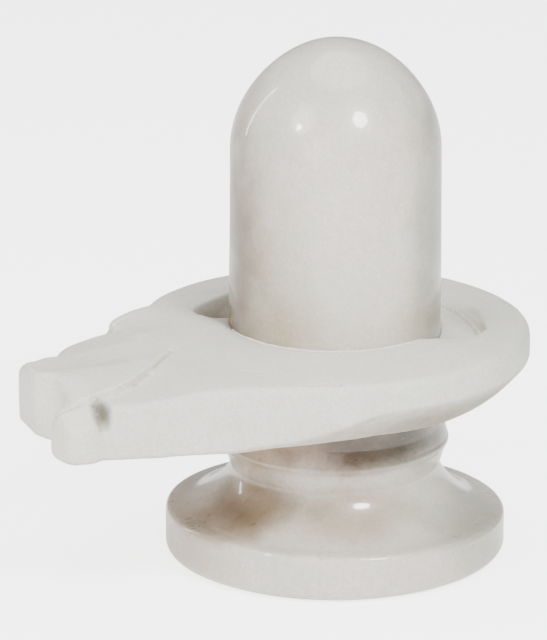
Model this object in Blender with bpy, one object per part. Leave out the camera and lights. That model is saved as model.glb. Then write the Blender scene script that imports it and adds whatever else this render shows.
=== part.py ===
"""Carved marble shiva lingam: a domed shaft, the spouted yoni it stands in, and a turned pedestal.

Metres, +Z up. The origin is the centre of the pedestal's flat underside and the spout points along -X.
The yoni's plan is laid out in its own two directions: reach, along the spout from the disc's centre,
and side, across it, positive towards -Y.
"""

import math

import bmesh
import bpy

# Pedestal
FOOT_RADIUS = 0.0774
FOOT_HEIGHT = 0.0208
FOOT_EDGE = 0.0045
NECK_RADIUS = 0.0480
NECK_HEIGHT = 0.0420
BEAD_RADIUS = 0.0520
BEAD_HEIGHT = 0.0535
COLLAR_RADIUS = 0.0498
COLLAR_TOP = 0.0760

# Yoni disc
DISC_RADIUS = 0.0906
DISC_SHIFT = 0.0025
RIM_TOP = 0.1070
RIM_WALL = 0.0135
RIM_EDGE = 0.0016
UNDERSIDE_RADIUS = 0.0712
SEAT_MARGIN = 0.0040

# Moat round the shaft and the socket the shaft stands in
MOAT_RADIUS = 0.0670
MOAT_FRONT_GAP = 0.0022
MOAT_WALL_LEAN = 0.0022
MOAT_SHALLOW = 0.0035
MOAT_DEEP = 0.0150
SOCKET_DEPTH = 0.0180
FRONT_SWELL = 0.0030

# Spout
SPOUT_REACH = 0.1430
NEAR_SIDE = 0.0590
FAR_SIDE = 0.0580
NEAR_TURN = 15.5
NEAR_STEP = 0.1270
FAR_STEP = 0.0900
FAR_LOBE_REACH = 0.1190
LIP_NEAR = 0.0270
LIP_FAR = 0.0127
GROOVE = 0.0080
SPOUT_BELLY = 0.0025
LIP_FALL = 0.0050
NOSE_FALL = 0.0060
RIDGE_RISE = 0.0032
SHOULDER_FALL = 0.0045
NEAR_LOBE_FALL = 0.0155
FAR_LOBE_FALL = 0.0130

# Lingam shaft
SHAFT_RADIUS = 0.0480
SHAFT_TOP = 0.2400
DOME_RISE = 0.0506
DOME_POINT = 0.08
SHAFT_FOOT_EDGE = 0.0010

# Fits and mesh density
GAP = 0.0003
TURNED_STEPS = 56
DISC_STEP = 0.0075
SPOUT_STEP = 0.0034

UNDERSIDE_Z = COLLAR_TOP + GAP
SEAT_Z = RIM_TOP - SOCKET_DEPTH
SOCKET_RADIUS = SHAFT_RADIUS + GAP


def smooth(low, high, value):
    """Return 0 below low, 1 above high and an even S curve between."""
    share = min(max((value - low) / (high - low), 0.0), 1.0)
    return share * share * (3.0 - 2.0 * share)


def marble(name, color, roughness):
    """Return a plain marble material."""
    material = bpy.data.materials.new(name)
    material.use_nodes = True
    shader = material.node_tree.nodes["Principled BSDF"]
    shader.inputs["Base Color"].default_value = (*color, 1.0)
    shader.inputs["Roughness"].default_value = roughness
    shader.inputs["Metallic"].default_value = 0.0
    material.diffuse_color = (*color, 1.0)
    return material


def add_object(name, mesh_builder, material, parent):
    """Link a finished bmesh as a named, smooth-shaded object under the parent empty."""
    bmesh.ops.recalc_face_normals(mesh_builder, faces=mesh_builder.faces)
    mesh = bpy.data.meshes.new(name)
    mesh_builder.to_mesh(mesh)
    mesh_builder.free()
    mesh.shade_smooth()
    mesh.set_sharp_from_angle(angle=math.radians(35.0))
    mesh.materials.append(material)
    piece = bpy.data.objects.new(name, mesh)
    bpy.context.scene.collection.objects.link(piece)
    piece.parent = parent
    return piece


def turned(name, profile, material, parent):
    """Spin a profile of (radius, height) points, from axis to axis, into a closed solid."""
    builder = bmesh.new()
    verts = [builder.verts.new((radius, 0.0, height)) for radius, height in profile]
    edges = [builder.edges.new(pair) for pair in zip(verts, verts[1:])]
    bmesh.ops.spin(
        builder, geom=verts + edges, cent=(0, 0, 0), axis=(0, 0, 1),
        angle=math.tau, steps=TURNED_STEPS, use_merge=True,
    )
    bmesh.ops.remove_doubles(builder, verts=builder.verts, dist=0.00002)
    flat_ends = [vert for vert in builder.verts if math.hypot(vert.co.x, vert.co.y) < 0.00001]
    flat_poles = [vert for vert in flat_ends if all(abs(face.normal.z) > 0.9999 for face in vert.link_faces)]
    bmesh.ops.dissolve_verts(builder, verts=flat_poles)
    return add_object(name, builder, material, parent)


def arc(centre, radii, start, end, count):
    """Return points on an elliptical arc, angles in degrees, both ends included."""
    points = []
    for index in range(count):
        angle = math.radians(start + (end - start) * index / (count - 1))
        points.append((centre[0] + radii[0] * math.cos(angle), centre[1] + radii[1] * math.sin(angle)))
    return points


def pedestal_profile():
    """Return the round foot, the hollow sweep up to the neck, the bead and the collar."""
    foot_side = FOOT_RADIUS - FOOT_EDGE
    foot = [(0.0, 0.0)]
    foot += arc((foot_side, FOOT_EDGE * 0.7), (FOOT_EDGE, FOOT_EDGE * 0.7), -90, 0, 4)
    foot += arc((foot_side, FOOT_HEIGHT - FOOT_EDGE), (FOOT_EDGE, FOOT_EDGE), 0, 78, 4)
    sweep_low = FOOT_HEIGHT + 0.0006
    neck_drop = BEAD_HEIGHT - NECK_HEIGHT
    sweep = arc((foot_side - FOOT_EDGE, NECK_HEIGHT), (foot_side - FOOT_EDGE - NECK_RADIUS,
                NECK_HEIGHT - sweep_low), 270, 180, 6)
    bead = [(NECK_RADIUS + share * (BEAD_RADIUS - NECK_RADIUS), NECK_HEIGHT + rise * neck_drop)
            for share, rise in ((0.18, 0.28), (0.62, 0.66), (1.0, 0.95), (0.98, 1.12))]
    collar = [(COLLAR_RADIUS, BEAD_HEIGHT + 0.008), (COLLAR_RADIUS, COLLAR_TOP), (0.0, COLLAR_TOP)]
    return foot + sweep + bead + collar


def shaft_profile():
    """Return the plain shaft with its slightly pointed dome."""
    foot_z = SEAT_Z + GAP
    spring = SHAFT_TOP - DOME_RISE
    foot = [(0.0, foot_z), (SHAFT_RADIUS - SHAFT_FOOT_EDGE, foot_z), (SHAFT_RADIUS, foot_z + SHAFT_FOOT_EDGE)]
    dome = []
    for index in range(12):
        turn = math.radians(90.0 * index / 11)
        draw_in = 1.0 - DOME_POINT * math.sin(turn) ** 2
        dome.append((SHAFT_RADIUS * math.cos(turn) * draw_in, spring + DOME_RISE * math.sin(turn)))
    dome[-1] = (0.0, SHAFT_TOP)
    return foot + dome


def on_disc(angle):
    """Return the (reach, side) point of the disc's edge at an angle from the spout's line, in degrees."""
    turn = math.radians(angle)
    return DISC_RADIUS * math.cos(turn), DISC_RADIUS * math.sin(turn)


def spout_corners():
    """Return the spout's plan corners and rounding radii, from the near wall round the lip to the far wall."""
    lip_back = SPOUT_REACH - 0.0155
    return [
        ((NEAR_STEP - 0.002, NEAR_SIDE), 0.0020),
        ((NEAR_STEP + 0.0005, NEAR_SIDE - GROOVE), 0.0008),
        ((NEAR_STEP + 0.004, NEAR_SIDE - 0.002), 0.0030),
        ((SPOUT_REACH - 0.002, NEAR_SIDE - 0.001), 0.0090),
        ((SPOUT_REACH + 0.003, LIP_NEAR + 0.009), 0.0080),
        ((SPOUT_REACH - 0.002, LIP_NEAR + 0.0015), 0.0008),
        ((SPOUT_REACH - 0.0005, LIP_NEAR - 0.003), 0.0020),
        ((SPOUT_REACH + 0.0005, (LIP_NEAR - LIP_FAR) / 2), 0.0030),
        ((SPOUT_REACH - 0.0005, -LIP_FAR), 0.0050),
        ((lip_back, -LIP_FAR - 0.0010), 0.0010),
        ((FAR_LOBE_REACH + 0.0055, -FAR_SIDE + 0.034), 0.0040),
        ((FAR_LOBE_REACH, -FAR_SIDE + 0.019), 0.0080),
        ((FAR_LOBE_REACH - 0.0150, -FAR_SIDE + 0.0075), 0.0080),
        ((FAR_STEP + 0.0010, -FAR_SIDE + 0.0050), 0.0008),
        ((FAR_STEP - 0.0025, -FAR_SIDE + 0.0050), 0.0015),
        ((FAR_STEP - 0.0110, -FAR_SIDE), 0.0060),
    ]


def rounded(corners):
    """Return a polyline with each inner corner replaced by a short curve of about its radius."""
    line = [corners[0][0]]
    for before, here, after in zip(corners, corners[1:], corners[2:]):
        point, radius = here
        legs = []
        for other in (before[0], after[0]):
            run = math.dist(point, other)
            share = min(radius / run, 0.45)
            legs.append((point[0] + (other[0] - point[0]) * share, point[1] + (other[1] - point[1]) * share))
        for step in range(4):
            t = step / 3
            line.append(tuple(
                (1 - t) ** 2 * legs[0][axis] + 2 * t * (1 - t) * point[axis] + t * t * legs[1][axis]
                for axis in range(2)
            ))
    line.append(corners[-1][0])
    return line


def spaced(line, step):
    """Return points along a polyline, about a step apart, keeping its ends."""
    lengths = [0.0]
    for start, end in zip(line, line[1:]):
        lengths.append(lengths[-1] + math.dist(start, end))
    count = max(2, round(lengths[-1] / step))
    points = []
    segment = 0
    for index in range(count + 1):
        target = lengths[-1] * index / count
        while segment < len(line) - 2 and lengths[segment + 1] < target:
            segment += 1
        run = lengths[segment + 1] - lengths[segment]
        share = (target - lengths[segment]) / run if run > 0 else 0.0
        start, end = line[segment], line[segment + 1]
        points.append((start[0] + (end[0] - start[0]) * share, start[1] + (end[1] - start[1]) * share))
    return points


def yoni_outline():
    """Return the whole plan edge once round: near wall, spout end, far wall, then the back of the disc."""
    near_angle = 90.0 - NEAR_TURN
    far_angle = -math.degrees(math.asin(min(FAR_SIDE / DISC_RADIUS, 0.95)))
    near_start = on_disc(near_angle)
    far_start = on_disc(far_angle)
    corners = [(near_start, 0.0)] + spout_corners() + [(far_start, 0.0)]
    spout_line = spaced(rounded(corners), SPOUT_STEP)
    sweep = 360.0 + far_angle - near_angle
    count = round(math.radians(sweep) * DISC_RADIUS / DISC_STEP)
    back = [on_disc(far_angle - sweep * index / count) for index in range(1, count)]
    return spout_line + back


def to_world(reach, side, height):
    """Return world coordinates for a place in the yoni's plan."""
    return (-(reach + DISC_SHIFT), -side, height)


def front_weight(angle):
    """Return how much a bearing about the shaft, in degrees from the spout, belongs to the filled front."""
    return smooth(-38.0, 4.0, angle) * (1.0 - smooth(118.0, 152.0, angle))


def bearing(reach, side):
    """Return the angle of a plan place about the shaft's axis, in degrees from the spout's line."""
    return math.degrees(math.atan2(side, reach + DISC_SHIFT))


def surface_height(reach, side):
    """Return the height of the yoni's top at a plan place, outside the moat."""
    from_shaft = math.hypot(reach + DISC_SHIFT, side)
    swell = FRONT_SWELL * front_weight(bearing(reach, side)) * (1.0 - smooth(SHAFT_RADIUS, DISC_RADIUS, from_shaft))
    along = smooth(0.75 * DISC_RADIUS, SPOUT_REACH, reach)
    ridge = smooth(0.0, 0.8 * LIP_NEAR, side) * (1.0 - smooth(LIP_NEAR, NEAR_SIDE, side))
    near_shoulder = along * smooth(LIP_NEAR, NEAR_SIDE, side)
    far_shoulder = smooth(0.72 * DISC_RADIUS, FAR_STEP, reach) * smooth(LIP_FAR, FAR_SIDE, -side)
    fall = along * (LIP_FALL - RIDGE_RISE * ridge) + SHOULDER_FALL * max(near_shoulder, far_shoulder)
    fall += NOSE_FALL * smooth(SPOUT_REACH - 0.011, SPOUT_REACH, reach) * smooth(0.0, LIP_FAR, -side)
    near_lobe = smooth(NEAR_STEP - 0.002, NEAR_STEP + 0.002, reach) * smooth(LIP_NEAR, NEAR_SIDE, side)
    far_lobe = smooth(FAR_STEP - 0.002, FAR_STEP + 0.002, reach) * smooth(LIP_FAR, 0.7 * FAR_SIDE, -side)
    fall += (FAR_LOBE_FALL - fall) * far_lobe + (NEAR_LOBE_FALL - fall) * near_lobe
    return RIM_TOP + swell - fall


def moat_edge(angle):
    """Return the moat's outer radius about the shaft: wide at the back, closed up at the filled front."""
    narrow = SOCKET_RADIUS + MOAT_FRONT_GAP
    return MOAT_RADIUS + (narrow - MOAT_RADIUS) * front_weight(angle)


def moat_floor(angle):
    """Return the height of the moat's floor, deepest beside the spout and shallow at the back."""
    depth = MOAT_SHALLOW + (MOAT_DEEP - MOAT_SHALLOW) * smooth(170.0, 60.0, abs(angle))
    depth += (MOAT_SHALLOW - depth) * front_weight(angle)
    return RIM_TOP - depth


def about_shaft(angle, radius, height):
    """Return world coordinates on a circle about the shaft's axis, at a bearing from the spout."""
    turn = math.radians(angle)
    return (-radius * math.cos(turn), -radius * math.sin(turn), height)


def yoni_rings():
    """Return the yoni's closed rings of points, from the socket floor outwards, over and under."""
    outline = yoni_outline()
    bearings = [bearing(reach, side) for reach, side in outline]
    rings = [
        [about_shaft(angle, SOCKET_RADIUS, SEAT_Z) for angle in bearings],
        [about_shaft(angle, SOCKET_RADIUS, moat_floor(angle)) for angle in bearings],
        [about_shaft(angle, moat_edge(angle) - MOAT_WALL_LEAN * (1 - 0.6 * front_weight(angle)), moat_floor(angle))
         for angle in bearings],
    ]
    inner = []
    for angle in bearings:
        x, y, _ = about_shaft(angle, moat_edge(angle), 0.0)
        inner.append((-x - DISC_SHIFT, -y))
    for share in (0.0, 0.25, 0.45, 0.60, 0.72, 0.82, 0.90, 0.96):
        ring = []
        for start, end in zip(inner, outline):
            reach = start[0] + (end[0] - start[0]) * share
            side = start[1] + (end[1] - start[1]) * share
            ring.append(to_world(reach, side, surface_height(reach, side)))
        rings.append(ring)
    wall_top, wall_foot, underside = [], [], []
    for reach, side in outline:
        away = abs(math.degrees(math.atan2(side, reach)))
        cut_back = smooth(58.0, 86.0, away)
        top = surface_height(reach, side) - RIM_EDGE
        belly_z = UNDERSIDE_Z - SPOUT_BELLY * smooth(UNDERSIDE_RADIUS, SPOUT_REACH, reach)
        foot_z = belly_z + 0.001 + (RIM_TOP - RIM_WALL - belly_z - 0.001) * cut_back
        reduce = 1.0 + (UNDERSIDE_RADIUS / DISC_RADIUS - 1.0) * cut_back
        wall_top.append(to_world(reach, side, top))
        wall_foot.append(to_world(reach, side, foot_z))
        underside.append(to_world(reach * min(reduce, 0.99), side * min(reduce, 0.99), belly_z))
    seat = [about_shaft(angle, COLLAR_RADIUS + SEAT_MARGIN, UNDERSIDE_Z) for angle in bearings]
    return rings + [wall_top, wall_foot, underside, seat]


def lofted(name, rings, material, parent):
    """Join closed rings of equal count by bands of quads and cap both ends flat."""
    builder = bmesh.new()
    loops = [[builder.verts.new(point) for point in ring] for ring in rings]
    for lower, upper in zip(loops, loops[1:]):
        for index in range(len(lower)):
            after = (index + 1) % len(lower)
            builder.faces.new((lower[index], lower[after], upper[after], upper[index]))
    builder.faces.new(list(reversed(loops[0])))
    builder.faces.new(loops[-1])
    return add_object(name, builder, material, parent)


def build():
    """Clear the scene and model the pedestal, the yoni and the shaft."""
    for leftover in list(bpy.data.objects):
        bpy.data.objects.remove(leftover, do_unlink=True)
    polished = marble("polished_marble", (0.74, 0.71, 0.66), 0.22)
    honed = marble("honed_marble", (0.80, 0.79, 0.76), 0.45)
    root = bpy.data.objects.new("shiva_lingam", None)
    bpy.context.scene.collection.objects.link(root)
    turned("pedestal", pedestal_profile(), polished, root)
    lofted("yoni", yoni_rings(), honed, root)
    turned("lingam", shaft_profile(), polished, root)


build()
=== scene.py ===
"""Looks of a carved marble shiva lingam: its finely carved pieces, finishes, floor, light and camera.

Everything is in metres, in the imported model's frame: +Z up, the pedestal's flat underside centred on the
origin, the spout along -X. The yoni's plan is laid out in its own two directions: reach, along the spout
from the disc's centre, and side, across it, positive towards -Y.
"""

from __future__ import annotations

import logging
import math
from collections.abc import Callable
from dataclasses import dataclass, replace
from enum import Enum

import bmesh
import bpy
import numpy as np
from mathutils import Matrix, Vector, noise
from mathutils.kdtree import KDTree

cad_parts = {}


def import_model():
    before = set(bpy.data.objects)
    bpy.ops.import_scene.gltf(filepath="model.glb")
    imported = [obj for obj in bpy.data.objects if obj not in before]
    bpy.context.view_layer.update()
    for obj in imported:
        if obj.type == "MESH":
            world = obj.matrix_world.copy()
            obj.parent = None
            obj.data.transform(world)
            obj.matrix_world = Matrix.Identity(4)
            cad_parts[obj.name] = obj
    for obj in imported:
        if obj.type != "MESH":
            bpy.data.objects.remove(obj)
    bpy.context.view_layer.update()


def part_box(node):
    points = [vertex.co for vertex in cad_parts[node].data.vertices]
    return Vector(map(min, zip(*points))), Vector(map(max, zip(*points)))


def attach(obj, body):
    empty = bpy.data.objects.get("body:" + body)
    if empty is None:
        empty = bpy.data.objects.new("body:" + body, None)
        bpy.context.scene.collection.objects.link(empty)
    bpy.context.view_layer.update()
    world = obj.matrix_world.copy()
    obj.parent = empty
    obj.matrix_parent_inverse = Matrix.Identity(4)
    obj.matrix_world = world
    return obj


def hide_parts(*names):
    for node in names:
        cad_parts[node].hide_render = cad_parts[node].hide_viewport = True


LOG = logging.getLogger("shiva_lingam")

ROOT_BODY = "root"
HOLLOW = "hollow"
EDGE = "edge"
CROWN_WEAR = 0.0007
RIM_TOP = 0.1070
BED_GAP = 0.0003
SOCKET_LAP = 0.0008
JOINT_OUT = 0.0002

Point = tuple[float, float]
Place = tuple[float, float, float]
Color = tuple[float, float, float]
Rings = list[list[Place]]
Knots = tuple[Point, ...]
Fall = Callable[[float, float], float]
Socket = bpy.types.NodeSocket


class Working(Enum):
    """How the mason left a surface: the named options that the finishes choose from."""

    POLISHED = "polished_marble"
    HONED = "honed_marble"


def smooth(low: float, high: float, value: float) -> float:
    """Ease between two values.

    Args:
        low: value that gives 0.
        high: value that gives 1.
        value: where to read the curve.

    Returns:
        0 below low, 1 above high and an even S curve between.
    """
    share = min(max((value - low) / (high - low), 0.0), 1.0)
    return share * share * (3.0 - 2.0 * share)


def curve(knots: Knots, value: float) -> float:
    """Read a broken line, given as knots of place and height, at a value."""
    return float(np.interp(value, *zip(*knots)))


def arc(centre: Point, radii: Point, start: float, end: float, count: int) -> list[Point]:
    """Lay points along an elliptical arc.

    Args:
        centre: centre of the ellipse, as radius and height.
        radii: its two half axes.
        start: first angle in degrees.
        end: last angle in degrees.
        count: number of points, both ends included.

    Returns:
        The points in order.
    """
    points = []
    for index in range(count):
        angle = math.radians(start + (end - start) * index / (count - 1))
        points.append((centre[0] + radii[0] * math.cos(angle), centre[1] + radii[1] * math.sin(angle)))
    return points


def run(start: Point, end: Point, count: int) -> list[Point]:
    """Lay evenly spaced points on a straight line, without its first point.

    Args:
        start: where the line starts.
        end: where it ends.
        count: number of points.

    Returns:
        The points in order, the last one at the end.
    """
    return [
        (start[0] + (end[0] - start[0]) * index / count, start[1] + (end[1] - start[1]) * index / count)
        for index in range(1, count + 1)
    ]


def hollow_curve(start: Point, corner: Point, end: Point, weight: float, count: int) -> list[Point]:
    """Lay points along a hollow curve that bends towards a corner.

    Args:
        start: where the curve starts.
        corner: the corner that it bends towards.
        end: where it ends.
        weight: how near it comes to the corner; 1 is a plain parabola and less is flatter.
        count: number of points, both ends included.

    Returns:
        The points in order.
    """
    points = []
    for index in range(count):
        share = index / (count - 1)
        pulls = ((1.0 - share) ** 2, 2.0 * weight * share * (1.0 - share), share ** 2)
        radius = pulls[0] * start[0] + pulls[1] * corner[0] + pulls[2] * end[0]
        height = pulls[0] * start[1] + pulls[1] * corner[1] + pulls[2] * end[1]
        points.append((radius / sum(pulls), height / sum(pulls)))
    return points


def rounded(corners: list[tuple[Point, float]], steps: int = 7, longest: float = 0.48) -> list[Point]:
    """Round a polyline's inner corners.

    Args:
        corners: each corner's place and its rounding radius.
        steps: points on each rounded corner, less one.
        longest: the most of a leg that its rounding takes.

    Returns:
        The rounded polyline.
    """
    line = [corners[0][0]]
    for before, here, after in zip(corners, corners[1:], corners[2:]):
        point, radius = Vector(here[0]), here[1]
        legs = []
        for other in (Vector(before[0]), Vector(after[0])):
            legs.append(point.lerp(other, min(radius / (other - point).length, longest)))
        for step in range(steps + 1):
            share = step / steps
            spot = legs[0].lerp(point, share).lerp(point.lerp(legs[1], share), share)
            line.append((spot.x, spot.y))
    line.append(corners[-1][0])
    return line


def spaced(line: list[Point], step: float) -> list[Point]:
    """Lay evenly spaced points along a polyline.

    Args:
        line: the polyline.
        step: about how far apart the points are.

    Returns:
        The points, both ends included.
    """
    lengths = np.concatenate(([0.0], np.cumsum([math.dist(a, b) for a, b in zip(line, line[1:])])))
    targets = np.linspace(0.0, lengths[-1], max(2, round(lengths[-1] / step)) + 1)
    columns = np.array(line)
    return list(zip(np.interp(targets, lengths, columns[:, 0]), np.interp(targets, lengths, columns[:, 1])))


def distance_in(points: np.ndarray, outline: np.ndarray) -> np.ndarray:
    """Measure how far plan points are from a closed outline.

    Args:
        points: plan points, one a row.
        outline: the outline's points.

    Returns:
        The distance of each point.
    """
    legs = np.roll(outline, -1, axis=0) - outline
    nearest = np.full(len(points), 1.0)
    for start, leg in zip(outline, legs):
        away = points - start
        share = np.clip(away @ leg / (leg @ leg), 0.0, 1.0)
        nearest = np.minimum(nearest, np.hypot(*(away - share[:, None] * leg).T))
    return nearest


class NodeBench:
    """A short way to add nodes to one shader node tree and to link them."""

    def __init__(self, tree: bpy.types.NodeTree) -> None:
        """Keep the tree that the nodes go into."""
        self.tree = tree

    def add(self, kind: str, **inputs: object) -> bpy.types.Node:
        """Add a node and set or link its inputs.

        Args:
            kind: the node's type name, such as ShaderNodeBump.
            inputs: values or output sockets, by input name with _ for a space; a name such as
                in0 means the input of that number.

        Returns:
            The new node.
        """
        node = self.tree.nodes.new(kind)
        for name, value in inputs.items():
            key = int(name[2:]) if name[:2] == "in" and name[2:].isdigit() else name.replace("_", " ")
            self.put(node.inputs[key], value)
        return node

    def put(self, socket: Socket, value: object) -> None:
        """Link an output socket to an input, or set the input's plain value.

        Args:
            socket: the input.
            value: an output socket or a plain value.
        """
        if isinstance(value, Socket):
            self.tree.links.new(value, socket)
        else:
            socket.default_value = value

    def math(
        self, operation: str, first: object, second: object = 0.0, clamp: bool = False,
    ) -> Socket:
        """Add a Math node.

        Args:
            operation: its operation, such as MULTIPLY.
            first: first value or socket.
            second: second value or socket.
            clamp: whether the result is kept between 0 and 1.

        Returns:
            The result's socket.
        """
        node = self.add("ShaderNodeMath", in0=first, in1=second)
        node.operation = operation
        node.use_clamp = clamp
        return node.outputs[0]

    def times(self, first: object, second: object, clamp: bool = False) -> Socket:
        """Multiply two values."""
        return self.math("MULTIPLY", first, second, clamp)

    def vector_math(
        self, operation: str, first: object, second: object = (0.0, 0.0, 0.0),
    ) -> bpy.types.Node:
        """Add a Vector Math node.

        Args:
            operation: its operation, such as SUBTRACT.
            first: first vector or socket.
            second: second vector or socket.

        Returns:
            The new node.
        """
        node = self.add("ShaderNodeVectorMath", in0=first, in1=second)
        node.operation = operation
        return node

    def ramp(
        self, value: object, low: float, high: float, start: float = 0.0, end: float = 1.0,
    ) -> Socket:
        """Map a value from low..high to start..end on a smooth curve.

        Args:
            value: the value's socket.
            low: where the curve starts.
            high: where it ends.
            start: result at low.
            end: result at high.

        Returns:
            The result's socket.
        """
        node = self.add("ShaderNodeMapRange")
        node.interpolation_type = "SMOOTHSTEP"
        settings = {"Value": value, "From Min": low, "From Max": high, "To Min": start, "To Max": end}
        for name, setting in settings.items():
            self.put(node.inputs[name], setting)
        return node.outputs["Result"]

    def mix(self, factor: object, below: object, above: object, blend: str = "MIX") -> Socket:
        """Lay one colour over another.

        Args:
            factor: how much of the upper colour shows.
            below: lower colour.
            above: upper colour.
            blend: Blender's blend type.

        Returns:
            The mixed colour's socket.
        """
        node = self.tree.nodes.new("ShaderNodeMix")
        node.data_type = "RGBA"
        node.blend_type = blend
        node.clamp_factor = True
        sockets = {"factor": node.inputs[0], "below": node.inputs[6], "above": node.inputs[7]}
        for name, value in (("factor", factor), ("below", below), ("above", above)):
            self.put(sockets[name], (*value, 1.0) if isinstance(value, tuple) else value)
        return node.outputs[2]

    def noise(
        self, vector: object, scale: float, detail: float = 2.0, roughness: float = 0.5,
    ) -> Socket:
        """Add a noise texture.

        Args:
            vector: coordinates to read it at.
            scale: its scale, in waves a metre.
            detail: number of finer octaves.
            roughness: how strong the finer octaves are.

        Returns:
            The noise value's socket.
        """
        node = self.add("ShaderNodeTexNoise", Vector=vector, Scale=scale, Detail=detail, Roughness=roughness)
        return node.outputs["Fac"]


class EffectGroups:
    """The shader node groups that both finishes share, each built once."""

    CRYSTALS_PER_METRE = 560.0
    GLINT: Color = (0.93, 0.93, 0.90)
    FLECK: Color = (0.36, 0.34, 0.31)
    VEIN: Color = (0.34, 0.33, 0.31)
    STROKE_STRETCH: Place = (55.0, 900.0, 700.0)

    def __init__(self) -> None:
        """Build every group."""
        self.body = self._marble_body()
        self.stain = self._stain_and_shading()
        self.dirt = self._painted_hollow_shade()
        self.wear_and_highlight = self._worn_and_highlit_edge()
        self.strokes = self._tool_strokes()

    @staticmethod
    def _new(name: str, inputs: str, outputs: str) -> tuple[bpy.types.NodeTree, NodeBench, object, object]:
        """Start a node group with named sockets.

        Args:
            name: the group's name.
            inputs: the inputs' names, each with its type after a colon.
            outputs: the outputs' names, in the same way.

        Returns:
            The group, a bench for it, the input node's outputs and the output node's inputs.
        """
        tree = bpy.data.node_groups.new(name, "ShaderNodeTree")
        for direction, sockets in (("INPUT", inputs), ("OUTPUT", outputs)):
            for entry in sockets.split():
                label, kind = entry.split(":")
                tree.interface.new_socket(name=label, in_out=direction, socket_type="NodeSocket" + kind)
        source = tree.nodes.new("NodeGroupInput")
        result = tree.nodes.new("NodeGroupOutput")
        return tree, NodeBench(tree), source.outputs, result.inputs

    def _marble_body(self) -> bpy.types.NodeTree:
        """Build the stone itself: cloudy white with blushes, faint veins and crystals whose glints are
        painted in as white specks.

        Returns:
            The group.
        """
        tree, bench, source, result = self._new(
            "marble_body",
            "Vector:Vector Light:Color Cloud:Color Blush:Color Crystals:Float Veins:Float",
            "Color:Color Grain:Float",
        )
        vector = source["Vector"]
        cloud = bench.ramp(bench.noise(vector, 15.0, 4.0, 0.55), 0.36, 0.66)
        color = bench.mix(bench.times(cloud, 0.75), source["Light"], source["Cloud"])
        patch = bench.ramp(bench.noise(vector, 38.0, 3.0, 0.6), 0.46, 0.64)
        color = bench.mix(bench.times(patch, 0.55), color, source["Blush"])
        mottle = bench.ramp(bench.noise(vector, 190.0, 4.0, 0.65), 0.40, 0.62)
        color = bench.mix(bench.times(mottle, 0.30), color, source["Cloud"])
        freckle = bench.ramp(bench.noise(vector, 620.0, 3.0, 0.7), 0.35, 0.65, 0.93, 1.05)
        grey = bench.add("ShaderNodeCombineColor", Red=freckle, Green=freckle, Blue=freckle)
        color = bench.mix(1.0, color, grey.outputs["Color"], "MULTIPLY")
        color = self._add_veins(bench, vector, color, source["Veins"])
        cells = bench.add("ShaderNodeTexVoronoi", Vector=vector, Scale=self.CRYSTALS_PER_METRE)
        chosen = bench.add("ShaderNodeSeparateColor", Color=cells.outputs["Color"])
        middle = bench.times(bench.ramp(cells.outputs["Distance"], 0.22, 0.42, 1.0, 0.0), source["Crystals"])
        # White crystal specks: partly the crystals' own white, partly painted highlight standing in for their
        # glints.
        glints = bench.times(bench.ramp(chosen.outputs["Red"], 0.90, 0.97), middle)
        color = bench.mix(glints, color, self.GLINT)
        flecks = bench.times(bench.ramp(chosen.outputs["Green"], 0.955, 0.985), middle)
        color = bench.mix(bench.times(flecks, 0.6), color, self.FLECK)
        bench.put(result["Color"], color)
        grit = bench.times(bench.noise(vector, 900.0, 2.0), 0.5)
        bench.put(result["Grain"], bench.math("ADD", bench.times(chosen.outputs["Blue"], 0.5), grit))
        return tree

    def _add_veins(self, bench: NodeBench, vector: Socket, color: Socket, strength: Socket) -> Socket:
        """Draw thin, broken veins into a colour.

        Args:
            bench: the group's bench.
            vector: the coordinates.
            color: the colour so far.
            strength: how strongly the veins show.

        Returns:
            The colour with its veins.
        """
        ridge = bench.math("ABSOLUTE", bench.math("SUBTRACT", bench.noise(vector, 9.0, 5.0, 0.6), 0.5))
        thread = bench.ramp(ridge, 0.0, 0.012, 1.0, 0.0)
        broken = bench.ramp(bench.noise(vector, 26.0, 2.0), 0.48, 0.62)
        return bench.mix(bench.times(bench.times(thread, broken), strength), color, self.VEIN)

    def _stain_and_shading(self) -> bpy.types.NodeTree:
        """Build a soft, broken tint round a place in the stone, for stains and for painted shade and painted
        light.

        Returns:
            The group.
        """
        tree, bench, source, result = self._new(
            "stone_stain_and_shading",
            "Color:Color Vector:Vector Centre:Vector Spread:Vector Stain:Color Strength:Float",
            "Color:Color",
        )
        away = bench.vector_math("SUBTRACT", source["Vector"], source["Centre"])
        scaled = bench.vector_math("DIVIDE", away.outputs[0], source["Spread"])
        length = bench.vector_math("LENGTH", scaled.outputs[0]).outputs["Value"]
        frayed = bench.times(bench.noise(source["Vector"], 45.0, 4.0, 0.6), 0.7)
        mask = bench.ramp(bench.math("ADD", length, frayed), 0.65, 1.50, 1.0, 0.0)
        shown = bench.times(mask, source["Strength"], clamp=True)
        bench.put(result["Color"], bench.mix(shown, source["Color"], source["Stain"], "MULTIPLY"))
        return tree

    def _painted_hollow_shade(self) -> bpy.types.NodeTree:
        """Build the painted shade that darkens hollows and faces that look down, read from the piece's own
        hollow attribute.

        Returns:
            The group.
        """
        tree, bench, source, result = self._new(
            "painted_hollow_shade",
            "Color:Color Vector:Vector Hollow:Float Dirt:Color Amount:Float",
            "Color:Color Mask:Float",
        )
        broken = bench.ramp(bench.noise(source["Vector"], 130.0, 4.0, 0.65), 0.30, 0.70, 0.45, 1.0)
        mask = bench.times(bench.times(source["Hollow"], broken), source["Amount"], clamp=True)
        bench.put(result["Color"], bench.mix(mask, source["Color"], source["Dirt"], "MULTIPLY"))
        bench.put(result["Mask"], mask)
        return tree

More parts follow.
